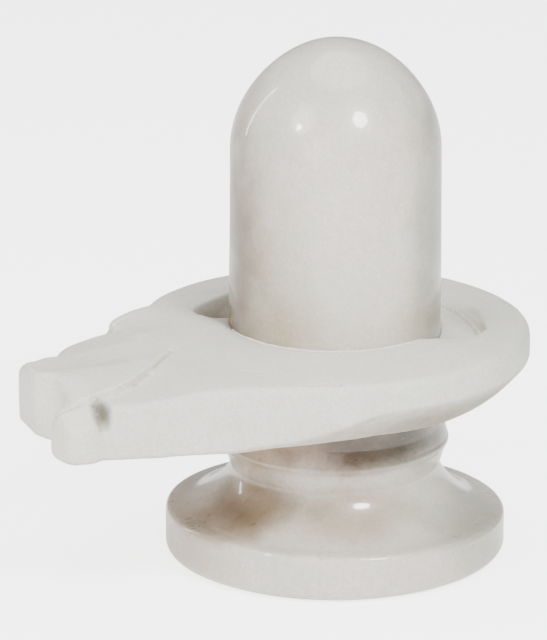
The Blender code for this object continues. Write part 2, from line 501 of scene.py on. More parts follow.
    def _worn_and_highlit_edge(self) -> bpy.types.NodeTree:
        """Build the whiter line on proud edges, partly rubbed wear and partly painted highlight, read from
        the piece's own edge attribute.

        Returns:
            The group.
        """
        tree, bench, source, result = self._new(
            "worn_and_highlit_edge",
            "Color:Color Vector:Vector Edge:Float Worn:Color Amount:Float",
            "Color:Color Mask:Float",
        )
        broken = bench.ramp(bench.noise(source["Vector"], 210.0, 3.0, 0.6), 0.38, 0.66)
        mask = bench.times(bench.times(source["Edge"], broken), source["Amount"], clamp=True)
        bench.put(result["Color"], bench.mix(mask, source["Color"], source["Worn"]))
        bench.put(result["Mask"], mask)
        return tree

    def _tool_strokes(self) -> bpy.types.NodeTree:
        """Build short straight rubbing strokes that run along X of the coordinates that come in.

        Returns:
            The group.
        """
        tree, bench, source, result = self._new(
            "tool_strokes",
            "Vector:Vector Amount:Float",
            "Height:Float Mask:Float",
        )
        drawn_out = bench.vector_math("MULTIPLY", source["Vector"], self.STROKE_STRETCH)
        stroke = bench.noise(drawn_out.outputs[0], 1.0, 2.0, 0.55)
        patches = bench.ramp(bench.noise(source["Vector"], 60.0, 2.0), 0.42, 0.62)
        line = bench.ramp(stroke, 0.60, 0.74)
        mask = bench.times(bench.times(line, patches), source["Amount"], clamp=True)
        bench.put(result["Height"], bench.times(stroke, source["Amount"]))
        bench.put(result["Mask"], mask)
        return tree


@dataclass(frozen=True)
class Stain:
    """One tinted place, for a stain in the stone and for painted shade and painted light."""

    centre: Place
    spread: Place
    color: Color
    strength: float


@dataclass(frozen=True)
class MarbleFinish:
    """How one worked surface of the marble looks."""

    working: Working
    light: Color
    cloud: Color
    blush: Color
    crystals: float
    veins: float
    roughness: float
    roughness_swing: float
    coat: float
    coat_roughness: float
    relief: float
    strokes: float
    stroke_turn: float
    # Painted shade in hollows and under the piece, then the whiter line on proud edges, partly wear and
    # partly painted highlight.
    dirt: Color = (0.60, 0.54, 0.46)
    hollow_shade_amount: float = 0.9
    worn: Color = (0.84, 0.84, 0.82)
    wear_and_highlight_amount: float = 0.5
    subsurface: float = 0.12
    crystal_depth: float = 0.0040
    scatter: Color = (1.0, 0.85, 0.7)
    ior: float = 1.49
    rubbed: float = 0.5
    hollow_matt: float = 0.20
    wear_matt: float = 0.10
    grain_height: float = 0.35
    swell_height: float = 1.2
    bump_distance: float = 0.0004
    coat_low: float = 0.55

    def material(self, name: str, groups: EffectGroups, stains_and_shading: tuple[Stain, ...]) -> bpy.types.Material:
        """Make the finish's material for one piece.

        Args:
            name: the material's name.
            groups: the shared effect groups.
            stains_and_shading: the piece's own tinted places, stains and painted shade and light.

        Returns:
            The material.
        """
        material = bpy.data.materials.new(name)
        material.use_nodes = True
        tree = material.node_tree
        shader = tree.nodes["Principled BSDF"]
        bench = NodeBench(tree)
        place = tree.nodes.new("ShaderNodeTexCoord").outputs["Object"]
        body = self._group(bench, groups.body, Vector=place, Light=self.light, Cloud=self.cloud,
                           Blush=self.blush, Crystals=self.crystals, Veins=self.veins)
        color = body["Color"]
        # Tinted places: stains in the stone and painted shade and light.
        for stain in stains_and_shading:
            color = self._group(bench, groups.stain, Color=color, Vector=place, Centre=stain.centre,
                                Spread=stain.spread, Stain=stain.color, Strength=stain.strength)["Color"]
        hollow = self._attribute(tree, HOLLOW)
        edge = self._attribute(tree, EDGE)
        # Painted shade: hollows and faces that look down are darkened.
        dirt = self._group(bench, groups.dirt, Color=color, Vector=place, Hollow=hollow,
                           Dirt=self.dirt, Amount=self.hollow_shade_amount)
        # Whiter proud edges: partly rubbed wear, partly painted highlight.
        wear_and_highlight = self._group(bench, groups.wear_and_highlight, Color=dirt["Color"], Vector=place, Edge=edge,
                           Worn=self.worn, Amount=self.wear_and_highlight_amount)
        turned = bench.add("ShaderNodeMapping", Vector=place, Rotation=(0.0, 0.0, self.stroke_turn))
        strokes = self._group(bench, groups.strokes, Vector=turned.outputs["Vector"], Amount=self.strokes)
        rubbed = bench.mix(bench.times(strokes["Mask"], self.rubbed), wear_and_highlight["Color"], self.worn)
        bench.put(shader.inputs["Base Color"], rubbed)
        smear = bench.noise(place, 55.0, 4.0, 0.6)
        swing = self.roughness_swing
        matt = bench.ramp(smear, 0.3, 0.7, self.roughness - swing, self.roughness + swing)
        matt = bench.math("ADD", matt, bench.times(dirt["Mask"], self.hollow_matt))
        matt = bench.math("ADD", matt, bench.times(wear_and_highlight["Mask"], self.wear_matt), clamp=True)
        bench.put(shader.inputs["Roughness"], matt)
        skin = bench.math("ADD", bench.times(body["Grain"], self.grain_height), strokes["Height"])
        swell = bench.math("ADD", skin, bench.times(bench.noise(place, 120.0, 3.0), self.swell_height))
        bump = bench.add("ShaderNodeBump", Strength=self.relief, Distance=self.bump_distance, Height=swell)
        bench.put(shader.inputs["Normal"], bump.outputs["Normal"])
        coat = bench.ramp(smear, 0.25, 0.75, self.coat, self.coat * self.coat_low)
        bench.put(shader.inputs["Coat Weight"], coat)
        shader.inputs["Coat Roughness"].default_value = self.coat_roughness
        shader.inputs["IOR"].default_value = self.ior
        shader.inputs["Subsurface Weight"].default_value = self.subsurface
        shader.inputs["Subsurface Scale"].default_value = self.crystal_depth
        shader.inputs["Subsurface Radius"].default_value = self.scatter
        material.diffuse_color = (*self.light, 1.0)
        return material

    @staticmethod
    def _group(bench: NodeBench, group: bpy.types.NodeTree, **inputs: object) -> object:
        """Place a node group in a material.

        Args:
            bench: the material's bench.
            group: the group.
            inputs: values or output sockets, by input name.

        Returns:
            The placed group's outputs.
        """
        node = bench.tree.nodes.new("ShaderNodeGroup")
        node.node_tree = group
        for label, value in inputs.items():
            socket = node.inputs[label]
            is_color = socket.type == "RGBA" and isinstance(value, tuple)
            bench.put(socket, (*value, 1.0) if is_color else value)
        return node.outputs

    @staticmethod
    def _attribute(tree: bpy.types.NodeTree, name: str) -> Socket:
        """Read one of the piece's own point attributes.

        Args:
            tree: the material's node tree.
            name: the attribute's name.

        Returns:
            The attribute's value.
        """
        node = tree.nodes.new("ShaderNodeAttribute")
        node.attribute_name = name
        return node.outputs["Fac"]


POLISHED = MarbleFinish(
    working=Working.POLISHED,
    light=(0.66, 0.605, 0.545), cloud=(0.555, 0.55, 0.475), blush=(0.63, 0.555, 0.50),
    crystals=0.34, veins=0.16, roughness=0.33, roughness_swing=0.07, coat=0.90, coat_roughness=0.07,
    relief=0.16, strokes=0.10, stroke_turn=0.0,
)
HONED = MarbleFinish(
    working=Working.HONED,
    light=(0.71, 0.685, 0.635), cloud=(0.62, 0.645, 0.59), blush=(0.685, 0.62, 0.57),
    crystals=0.42, veins=0.12, roughness=0.50, roughness_swing=0.06, coat=0.12, coat_roughness=0.32,
    relief=0.30, strokes=0.55, stroke_turn=math.radians(20.0),
)


class CarvedPiece:
    """What every piece of the work has: a mesh, its surface masks and its place on the frame."""

    name: str
    node: str
    underside_shade: float = 0.0
    facing_down: Point = (0.10, 0.45)
    hollow_range: Point = (0.03, 0.22)
    edge_range: Point = (0.07, 0.26)

    def mesh_builder(self) -> bmesh.types.BMesh:
        """Return the piece's carved mesh; each piece has its own."""
        raise NotImplementedError

    def finish_of(self) -> tuple[MarbleFinish, tuple[Stain, ...]]:
        """Return the piece's finish and its tinted places, stains and painted shading; each piece has its
        own.
        """
        raise NotImplementedError

    def build(self, groups: EffectGroups) -> bpy.types.Object:
        """Make the piece, dress it and put it in place of its CAD node where it has one.

        Args:
            groups: the shared effect groups.

        Returns:
            The finished object.
        """
        builder = self.mesh_builder()
        bmesh.ops.recalc_face_normals(builder, faces=builder.faces)
        for face in builder.faces:
            face.smooth = True
        self._mark_surface(builder)
        mesh = bpy.data.meshes.new(self.name)
        builder.to_mesh(mesh)
        builder.free()
        finish, stains_and_shading = self.finish_of()
        mesh.materials.append(finish.material(self.name + "_stone", groups, stains_and_shading))
        piece = bpy.data.objects.new(self.name, mesh)
        bpy.context.scene.collection.objects.link(piece)
        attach(piece, ROOT_BODY)
        if self.node:
            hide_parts(self.node)
        LOG.info("%s: %d faces, %s", self.name, len(mesh.polygons), finish.working.value)
        return piece

    def _mark_surface(self, builder: bmesh.types.BMesh, reach: float = 0.0022) -> None:
        """Store how hollow or how proud the surface is at each point, for the painted shade in hollows and
        for the whiter edges, partly wear and partly painted highlight.

        Surfaces that face down get painted shade as well, so they count as a little hollow.

        Args:
            builder: the finished mesh.
            reach: how far round a point the measure looks.
        """
        hollow = builder.verts.layers.float.new(HOLLOW)
        edge = builder.verts.layers.float.new(EDGE)
        builder.verts.ensure_lookup_table()
        builder.normal_update()
        tree = KDTree(len(builder.verts))
        for index, vert in enumerate(builder.verts):
            tree.insert(vert.co, index)
        tree.balance()
        for vert in builder.verts:
            near = tree.find_range(vert.co, reach)
            lift = sum((spot - vert.co).dot(vert.normal) for spot, _, _ in near) / (len(near) * reach)
            # Painted shade: faces that look down are darkened as if hollow.
            under = self.underside_shade * smooth(*self.facing_down, -vert.normal.z)
            vert[hollow] = max(smooth(*self.hollow_range, lift), under)
            vert[edge] = smooth(*self.edge_range, -lift)

    @staticmethod
    def weather(
        builder: bmesh.types.BMesh, depth: float, wave: float, seed: float, floor: float = 0.0002,
    ) -> None:
        """Take the hand's unevenness off the surface, inwards only.

        Args:
            builder: the mesh to change.
            depth: how deep the deepest place goes.
            wave: length of the unevenness.
            seed: shifts the pattern, so that no two pieces share it.
            floor: points lower than this keep their place, so that the piece stands flat.
        """
        builder.normal_update()
        shift = Vector((seed, 2.0 * seed, -seed))
        moves = []
        for vert in builder.verts:
            if vert.co.z <= floor:
                continue
            spot = vert.co / wave + shift
            swell = 0.5 + 0.35 * noise.noise(spot) + 0.15 * noise.noise(spot * 2.7)
            moves.append((vert, vert.normal * (-depth * min(max(swell, 0.0), 1.0))))
        for vert, move in moves:
            vert.co += move


class TurnedPiece(CarvedPiece):
    """A piece that was turned, modelled as a profile spun about the vertical axis."""

    steps: int

    def profile(self) -> list[Point]:
        """Return the profile's points, as radius and height, from axis to axis."""
        raise NotImplementedError

    def shape(self, builder: bmesh.types.BMesh) -> None:
        """Carve what is not round; a plain turned piece has nothing here."""

    def mesh_builder(self) -> bmesh.types.BMesh:
        """Spin the profile into a closed body and carve it.

        Returns:
            The piece's mesh.
        """
        builder = bmesh.new()
        verts = [builder.verts.new((radius, 0.0, height)) for radius, height in self.profile()]
        edges = [builder.edges.new(pair) for pair in zip(verts, verts[1:])]
        bmesh.ops.spin(
            builder, geom=verts + edges, cent=(0.0, 0.0, 0.0), axis=(0.0, 0.0, 1.0),
            angle=math.tau, steps=self.steps, use_merge=True,
        )
        bmesh.ops.remove_doubles(builder, verts=builder.verts, dist=0.00001)
        bmesh.ops.recalc_face_normals(builder, faces=builder.faces)
        self.shape(builder)
        return builder


@dataclass
class Shaft(TurnedPiece):
    """The polished, domed shaft, standing in the yoni's socket."""

    foot_z: float
    top_z: float
    radius: float
    dome_rise: float = 0.0506
    dome_point: float = 0.085
    foot_edge: float = 0.0010
    tip_lean: float = 0.0010
    tip_return: float = 0.35
    draw_in: float = 0.0070
    draw_length: float = 0.0700
    shift: float = 0.0004
    steps: int = 192
    name: str = "lingam_shaft"
    node: str = "lingam"

    def profile(self) -> list[Point]:
        """Return the shaft's profile: flat foot, straight side and slightly pointed dome.

        Returns:
            The points, as radius and height.
        """
        spring = self.top_z - self.dome_rise
        side = (self.radius, self.foot_z + self.foot_edge)
        points = [(0.0, self.foot_z), (self.radius - self.foot_edge, self.foot_z), side]
        points += run(side, (self.radius, spring), 60)
        turns = 56
        for index in range(1, turns):
            turn = math.radians(90.0 * index / turns)
            draw_in = 1.0 - self.dome_point * math.sin(turn) ** 2
            points.append((self.radius * math.cos(turn) * draw_in, spring + self.dome_rise * math.sin(turn)))
        return points + [(0.0, self.top_z)]

    def shape(self, builder: bmesh.types.BMesh) -> None:
        """Lean the dome's tip a little, as the hand left it, and take off the evenness.

        Args:
            builder: the shaft's mesh.
        """
        spring = self.top_z - self.dome_rise
        for vert in builder.verts:
            rise = max(vert.co.z - spring, 0.0) / self.dome_rise
            drawn = smooth(spring - self.draw_length, spring, vert.co.z)
            vert.co.x = vert.co.x * (1.0 - self.draw_in * drawn) + self.shift * drawn
            vert.co.y *= 1.0 - self.draw_in * drawn
            vert.co.x += self.tip_lean * rise ** 2 * (1.0 - self.tip_return * rise)
        self.weather(builder, depth=0.0006, wave=0.055, seed=3.1)

    def finish_of(self) -> tuple[MarbleFinish, tuple[Stain, ...]]:
        """Return polished marble tinted warmer and darker down the shaft's left, greyer and darker at its
        right and near its foot: partly the stone's own tone, mostly painted shade on the sides of the round.

        Returns:
            The finish and the tinted places.
        """
        # Painted shade: the warm and grey tints darken the shaft's left and right edges and its foot.
        warm = (0.34, 0.27, 0.20)
        cool = (0.52, 0.54, 0.48)
        return POLISHED, (
            Stain((-0.0490, 0.0030, 0.138), (0.036, 0.030, 0.086), warm, 1.0),
            Stain((-0.0460, -0.0120, 0.125), (0.044, 0.036, 0.090), (0.78, 0.72, 0.62), 0.9),
            Stain((-0.0320, -0.0350, 0.118), (0.026, 0.020, 0.020), (0.80, 0.74, 0.64), 0.7),
            Stain((0.0440, -0.0260, 0.145), (0.034, 0.036, 0.105), cool, 1.0),
            Stain((0.0330, -0.0340, 0.150), (0.018, 0.018, 0.095), (0.82, 0.83, 0.79), 0.9),
            Stain((0.0240, -0.0420, 0.118), (0.020, 0.014, 0.014), (0.88, 0.84, 0.72), 0.7),
        )


@dataclass
class Pedestal(TurnedPiece):
    """The polished turned foot: a round plinth, a hollow sweep, a bead and a collar."""

    foot_radius: float
    collar_top: float
    foot_height: float = 0.0214
    foot_edge: float = 0.0030
    toe: float = 0.0075
    toe_lift: float = 0.0052
    foot_tilt: float = 0.0018
    tilt_way: Point = (-0.936, -0.352)
    tilt_from: float = 0.0080
    tilt_fades: float = 0.0240
    sweep_weight: float = 0.35
    neck_radius: float = 0.0480
    neck_height: float = 0.0420
    bead_radius: float = 0.0520
    bead_height: float = 0.0535
    bead_round: Point = (0.0016, 0.0022)
    bead_under: Point = (0.0012, 0.0026)
    sweep_lift: float = 0.0004
    collar_slope: float = 0.0090
    collar_radius: float = 0.0498
    steps: int = 192
    name: str = "pedestal_foot"
    node: str = "pedestal"

    def profile(self) -> list[Point]:
        """Return the pedestal's profile from the underside's centre to the collar's top.

        Returns:
            The points, as radius and height.
        """
        contact = self.foot_radius - self.toe
        points = [(0.0, 0.0)] + run((0.0, 0.0), (contact, 0.0), 10)
        points += arc((contact, self.toe_lift), (self.toe, self.toe_lift), -90, 0, 11)[1:]
        shoulder = self.foot_height - self.foot_edge
        side = self.foot_radius - self.foot_edge
        points += run(points[-1], (self.foot_radius, shoulder), 8)
        points += arc((side, shoulder), (self.foot_edge, self.foot_edge), 0, 80, 10)[1:]
        start = (side - self.foot_edge, self.foot_height + self.sweep_lift)
        neck = (self.neck_radius, self.neck_height)
        points += hollow_curve(start, (neck[0], start[1]), neck, self.sweep_weight, 34)
        arris = (self.bead_radius, self.bead_height)
        points += run(neck, (arris[0] - self.bead_under[0], arris[1] - self.bead_under[1]), 12)[1:]
        points += arc((arris[0] - self.bead_round[0], arris[1]), self.bead_round, -50, 50, 7)
        points += run(points[-1], (self.collar_radius, self.bead_height + self.collar_slope), 8)
        points += run(points[-1], (self.collar_radius, self.collar_top), 10)
        return points + run(points[-1], (0.0, self.collar_top), 6)

    def shape(self, builder: bmesh.types.BMesh) -> None:
        """Tilt the foot's upper edge a little and take the lathe's evenness off.

        Args:
            builder: the pedestal's mesh.
        """
        for vert in builder.verts:
            height = vert.co.z
            weight = smooth(self.tilt_from, self.foot_height, height)
            weight *= 1.0 - smooth(self.tilt_fades, self.neck_height, height)
            way = (vert.co.x * self.tilt_way[0] + vert.co.y * self.tilt_way[1]) / self.foot_radius
            vert.co.z += self.foot_tilt * weight * way
        self.weather(builder, depth=0.0008, wave=0.050, seed=8.4)

    def finish_of(self) -> tuple[MarbleFinish, tuple[Stain, ...]]:
        """Return polished marble with painted shade: a warm painted shadow of the spout low on the left, a
        dark painted shadow round the collar under the yoni and darker sides to the foot.

        Returns:
            The finish and the tinted places.
        """
        # Painted shadow and painted shade: the spout's warm shadow on the left, the yoni's shadow round the
        # collar, darker foot sides.
        return POLISHED, (
            Stain((-0.048, -0.022, 0.034), (0.036, 0.036, 0.015), (0.42, 0.32, 0.22), 1.0),
            Stain((-0.064, -0.016, 0.027), (0.030, 0.034, 0.010), (0.62, 0.52, 0.40), 1.0),
            Stain((-0.012, -0.052, 0.034), (0.038, 0.026, 0.014), (0.62, 0.56, 0.48), 0.9),
            Stain((-0.048, -0.018, 0.058), (0.032, 0.036, 0.016), (0.56, 0.44, 0.34), 1.0),
            Stain((-0.022, -0.046, 0.063), (0.036, 0.024, 0.014), (0.42, 0.30, 0.22), 1.0),
            Stain((0.004, -0.050, 0.064), (0.040, 0.030, 0.014), (0.30, 0.26, 0.20), 1.0),
            Stain((0.030, -0.042, 0.065), (0.038, 0.036, 0.016), (0.34, 0.32, 0.27), 1.0),
            Stain((0.040, -0.030, 0.050), (0.034, 0.040, 0.016), (0.78, 0.78, 0.72), 0.8),
            Stain((-0.062, 0.026, 0.024), (0.034, 0.044, 0.014), (0.92, 0.82, 0.75), 0.9),
            Stain((-0.074, 0.000, 0.012), (0.030, 0.050, 0.014), (0.80, 0.72, 0.61), 0.8),
            Stain((0.058, -0.052, 0.016), (0.042, 0.044, 0.026), (0.64, 0.66, 0.60), 0.9),
        )


@dataclass(frozen=True)
class Stroke:
    """One carved line: a path that the chisel followed, how wide it cut and how deep."""

    path: tuple[Point, ...]
    width: float
    depth: float


@dataclass(frozen=True)
class Block:
    """One rounded block of the spout: its plan corners with their radii, its top and its edge."""

    corners: tuple[tuple[Point, float], ...]
    fall: Fall
    edge: Fall


@dataclass
class Yoni(CarvedPiece):
    """The honed disc with its moat, the socket and the spout of overlapping carved blocks."""

    disc_radius: float
    disc_shift: float
    rim_top: float
    underside_z: float
    seat_z: float
    socket_radius: float
    spout_reach: float = 0.1442
    rim_wall: float = 0.0135
    underside_radius: float = 0.0712
    seat_radius: float = 0.0538
    moat_radius: float = 0.0670
    moat_front_radius: float = 0.0505
    moat_shallow: float = 0.0018
    moat_deep: float = 0.0150
    moat_front: float = 0.0012
    brow_radius: float = 0.0014
    fillet_radius: float = 0.0030
    most_of_wall: float = 0.4
    wall_lean: float = 0.0006
    shaft_radius: float = 0.0480
    front_swell: float = 0.0030
    moat_stop: Point = (-54.0, -20.0)
    edge_stop: Point = (-40.0, -8.0)
    moat_start: Point = (118.0, 152.0)
    near_side: float = 0.0590
    far_side: float = 0.0580
    near_turn: float = 15.5
    near_step: float = 0.1240
    lip_far: float = 0.0127
    spout_belly: float = 0.0025
    shoulder_fall: float = 0.0045
    rim_edge: float = 0.0042
    # How strongly faces that look down get painted shade.
    underside_shade: float = 0.62
    voxel: float = 0.00130
    spout_spacing: float = 0.0012
    disc_spacing: float = 0.0024
    crease: Knots = (
        (0.0740, 0.0060), (0.0795, 0.0118), (0.0910, 0.0260), (0.1040, 0.0395), (0.1150, 0.0455),
        (0.1260, 0.0465), (0.1340, 0.0450), (0.1410, 0.0420), (0.1440, 0.0380),
    )
    even_passes: int = 3
    carved_zones: tuple[tuple[float, float, float, float, float], ...] = (
        (-0.200, -0.072, -0.100, 0.100, 0.026), (0.050, 0.068, -0.036, 0.020, 0.007),
        (-0.066, -0.018, -0.090, -0.052, 0.007),
    )
    moat_crest: Knots = (
        (-0.0570, -0.0160), (-0.0598, -0.0100), (-0.0618, 0.0000), (-0.0620, 0.0140), (-0.0613, 0.0230),
        (-0.0604, 0.0300),
    )
    wall_rise: Knots = (
        (44.0, 0.0), (54.0, 0.14), (62.0, 0.25), (70.0, 0.45), (75.0, 0.62), (84.0, 0.95), (90.0, 1.0),
    )
    under_pull: Knots = ((44.0, 0.0), (54.0, 0.40), (62.0, 0.54), (70.0, 0.70), (86.0, 1.0))
    tongue_middle: Knots = ((-0.0127, 0.0056), (0.0090, 0.0043), (0.0200, 0.0015))
    tongue_near: Knots = (
        (0.0790, 0.0002), (0.1040, 0.0015), (0.1150, 0.0036), (0.1260, 0.0058), (0.1340, 0.0098),
        (0.1410, 0.0130),
    )
    knob_along: Knots = ((0.1270, 0.0080), (0.1340, 0.0100), (0.1410, 0.0128), (0.1470, 0.0165))
    step_along: Knots = (
        (0.0740, 0.0), (0.0850, 0.0001), (0.1040, 0.0016), (0.1150, 0.0037), (0.1260, 0.0058),
    )
    knob_lean: float = 0.40
    disc_cap_rings: int = 44
    block_cap_rings: int = 26
    name: str = "yoni_disc"
    node: str = "yoni"

    def near_wall(self) -> list[tuple[Point, float]]:
        """Return the near wall's plan corners, where one chiselled flat meets the next.

        Returns:
            Each corner's place and its rounding radius.
        """
        return [
            ((0.0576, 0.0783), 0.0030), ((0.0735, 0.0740), 0.0030), ((0.0877, 0.0695), 0.0030),
            ((0.1035, 0.0655), 0.0030), ((self.near_step - 0.0005, self.near_side), 0.0012),
        ]

    def disc_corners(self) -> list[tuple[Point, float]]:
        """Return the plan corners of the disc's own part of the spout, near wall first.

        Returns:
            Each corner's place and its rounding radius.
        """
        step = self.near_step
        return self.near_wall() + [
            ((step + 0.0008, 0.0500), 0.0030), ((0.1290, 0.0200), 0.0100), ((0.1270, -0.0080), 0.0100),
            ((0.1150, -0.0330), 0.0080), ((0.1010, -0.0440), 0.0060), ((0.0870, -0.0480), 0.0040),
            ((0.0790, -0.0545), 0.0040),
        ]

    def blocks(self) -> tuple[Block, ...]:
        """Return the spout's blocks: the tongue, the knob beside it and the two far lobes.

        Returns:
            The blocks, which overlap.
        """
        end = self.spout_reach
        tongue = (
            ((0.0700, -0.0020), 0.0020), ((0.0795, 0.0118), 0.0060), ((0.0910, 0.0260), 0.0060),
            ((0.1040, 0.0395), 0.0080), ((0.1150, 0.0458), 0.0060), ((0.1260, 0.0468), 0.0060),
            ((0.1365, 0.0450), 0.0060), ((end - 0.0078, 0.0400), 0.0050), ((end - 0.0066, 0.0262), 0.0030),
            ((end - 0.0003, 0.0134), 0.0006), ((end, -self.lip_far), 0.0035),
            ((0.1275, -self.lip_far - 0.0010), 0.0040), ((0.0900, -0.0130), 0.0060),
        )
        knob = (
            ((0.1240, 0.0420), 0.0030), ((0.1350, 0.0350), 0.0040), ((0.1440, 0.0365), 0.0050),
            ((0.1458, 0.0450), 0.0070), ((0.1420, 0.0588), 0.0100), ((0.1273, 0.0592), 0.0030),
            ((0.1262, 0.0520), 0.0020),
        )
        root = (
            ((0.1180, 0.0440), 0.0030), ((0.1320, 0.0440), 0.0030), ((0.1320, 0.0584), 0.0020),
            ((0.1200, 0.0584), 0.0020),
        )
        corner = (
            ((0.0480, -0.0480), 0.0030), ((0.0655, -0.0592), 0.0040), ((0.0780, -0.0597), 0.0060),
            ((0.0892, -0.0525), 0.0070), ((0.0900, -0.0400), 0.0040), ((0.0700, -0.0250), 0.0060),
        )
        lobe = (
            ((0.0780, -0.0440), 0.0030), ((0.0900, -0.0525), 0.0030), ((0.1030, -0.0508), 0.0080),
            ((0.1120, -0.0462), 0.0080), ((0.1188, -0.0345), 0.0080), ((0.1235, -0.0180), 0.0050),
            ((0.1180, -0.0050), 0.0060), ((0.0880, -0.0100), 0.0060),
        )
        return (
            Block(tongue, self.tongue_fall, self.tongue_edge),
            Block(knob, self.knob_fall, self.knob_edge),
            Block(root, lambda reach, side: 0.0195, lambda reach, side: 0.0020),
            Block(corner, self.corner_fall, lambda reach, side: 0.0030),
            Block(lobe, self.lobe_fall, lambda reach, side: 0.0036),
        )

    def crease_side(self, reach: float) -> float:
        """Return how far across the tongue's near crease is at a reach."""
        return curve(self.crease, reach)

    def tongue_fall(self, reach: float, side: float) -> float:
        """Return how far below the rim the tongue's petal top is.

        Args:
            reach: how far out along the spout.
            side: how far across it.

        Returns:
            The fall.
        """
        middle = curve(self.tongue_middle, side) * smooth(0.0720, 0.1250, reach)
        near = curve(self.tongue_near, reach)
        crease = self.crease_side(reach)
        ridge = min(0.0240, 0.55 * crease)
        share = smooth(0.0, 1.25, (side - ridge) / max(crease - ridge, 0.004))
        return middle + (near - middle) * share - 0.0004

    def tongue_edge(self, reach: float, side: float) -> float:
        """Return the rounding of the tongue's upper edge: broad at its far corner, crisp elsewhere.

        Args:
            reach: how far out along the spout.
            side: how far across it.

        Returns:
            The rounding's radius.
        """
        far = 0.0058 * (1.0 - smooth(-self.lip_far, 0.0050, side))
        near = 0.0024 * smooth(0.0120, 0.0240, side)
        return 0.0012 + (far + near) * smooth(0.130, 0.138, reach)

    def knob_fall(self, reach: float, side: float) -> float:
        """Return how far below the rim the knob's top is."""
        return curve(self.knob_along, reach) + self.knob_lean * max(side - 0.0450, 0.0)

    def knob_edge(self, reach: float, side: float) -> float:
        """Return the rounding of the knob's upper edge: broad at its two ends."""
        return 0.0026 + 0.0045 * (1.0 - smooth(0.1280, 0.1330, reach) + smooth(0.1390, 0.1440, reach))

    def corner_fall(self, reach: float, side: float) -> float:
        """Return how far below the rim the far corner's top is."""
        return 0.0046 * smooth(0.0560, 0.0900, reach) * smooth(0.0100, 0.0480, -side) - 0.0002

    def lobe_fall(self, reach: float, side: float) -> float:
        """Return how far below the rim the far lobe's top is."""
        across = smooth(0.0080, 0.0520, -side)
        return 0.0012 + 0.0042 * smooth(0.078, 0.120, reach) + 0.0078 * across

    def disc_fall(self, reach: float, side: float) -> float:
        """Return how far below the rim the disc's own top is, moat left out.

        Args:
            reach: how far out along the spout.
            side: how far across it.

        Returns:
            The fall.
        """
        from_shaft = math.hypot(reach + self.disc_shift, side)
        bearing = math.degrees(math.atan2(side, reach + self.disc_shift))
        rise = 1.0 - smooth(self.shaft_radius, self.disc_radius, from_shaft)
        swell = self.front_swell * self.front_weight(bearing) * rise
        near = self.crease_side(reach)
        beside = smooth(near - 0.0040, near, side)
        shoulder = self.shoulder_fall * smooth(0.0620, 0.1200, reach)
        near_fall = max(shoulder, curve(self.step_along, reach)) * beside
        near_fall += 0.0014 * smooth(0.110, 0.126, reach) * beside
        sunk = 0.0040 * smooth(0.0800, 0.1100, reach) * (1.0 - beside)
        corner = self.corner_fall(reach, side) + 0.0002
        far = corner + max(self.lobe_fall(reach, side) + 0.0012 - corner, 0.0) * smooth(0.0860, 0.0930, reach)
        return max(near_fall + sunk, far) - swell

    def disc_edge(self, reach: float, side: float) -> float:
        """Return the rounding of the disc's rim, the same all round."""
        return self.rim_edge

    def outline(self) -> list[Point]:
        """Return the disc's plan edge once round: near wall, spout, far wall, then the back.

        Returns:
            The closed outline's points, in reach and side.
        """
        near_angle = 90.0 - self.near_turn
        far_angle = -math.degrees(math.asin(self.far_side / self.disc_radius))
        corners = [(self.on_disc(near_angle), 0.0)] + self.disc_corners() + [(self.on_disc(far_angle), 0.0)]
        spout = spaced(rounded(corners), self.spout_spacing)
        sweep = 360.0 + far_angle - near_angle
        count = round(math.radians(sweep) * self.disc_radius / self.disc_spacing)
        return spout + [self.on_disc(far_angle - sweep * index / count) for index in range(1, count)]

    def on_disc(self, angle: float) -> Point:
        """Return the disc edge's plan place at an angle from the spout's line, in degrees."""
        turn = math.radians(angle)
        return self.disc_radius * math.cos(turn), self.disc_radius * math.sin(turn)

    def front_weight(self, angle: float) -> float:
        """Return how much a bearing about the shaft, in degrees from the spout, is the filled front."""
        return smooth(*self.moat_stop, angle) * (1.0 - smooth(*self.moat_start, angle))

    def closing(self, angle: float) -> float:
        """Return how far the moat's outer edge has drawn in towards the shaft at a bearing."""
        return smooth(*self.edge_stop, angle) * (1.0 - smooth(*self.moat_start, angle))

    def moat_edge(self, angle: float) -> float:
        """Return the moat's outer radius about the shaft: wide behind, closed up at the front."""
        return self.moat_radius + (self.moat_front_radius - self.moat_radius) * self.closing(angle)

    def moat_floor(self, angle: float) -> float:
        """Return the height of the moat's floor, deep beside the spout and shallow at the back.

        Args:
            angle: bearing about the shaft, in degrees from the spout.

        Returns:
            The height.
        """
        depth = self.moat_shallow + (self.moat_deep - self.moat_shallow) * smooth(170.0, 60.0, abs(angle))
        depth += (self.moat_front - self.front_swell - depth) * self.front_weight(angle)
        return self.rim_top - depth

    def belly(self, reach: float) -> float:
        """Return the height of the underside, which sags a little towards the spout's end."""
        return self.underside_z - self.spout_belly * smooth(self.underside_radius, self.spout_reach, reach)

    def to_world(self, reach: float, side: float, height: float) -> Place:
        """Return world coordinates of a place in the yoni's plan."""
        return -(reach + self.disc_shift), -side, height

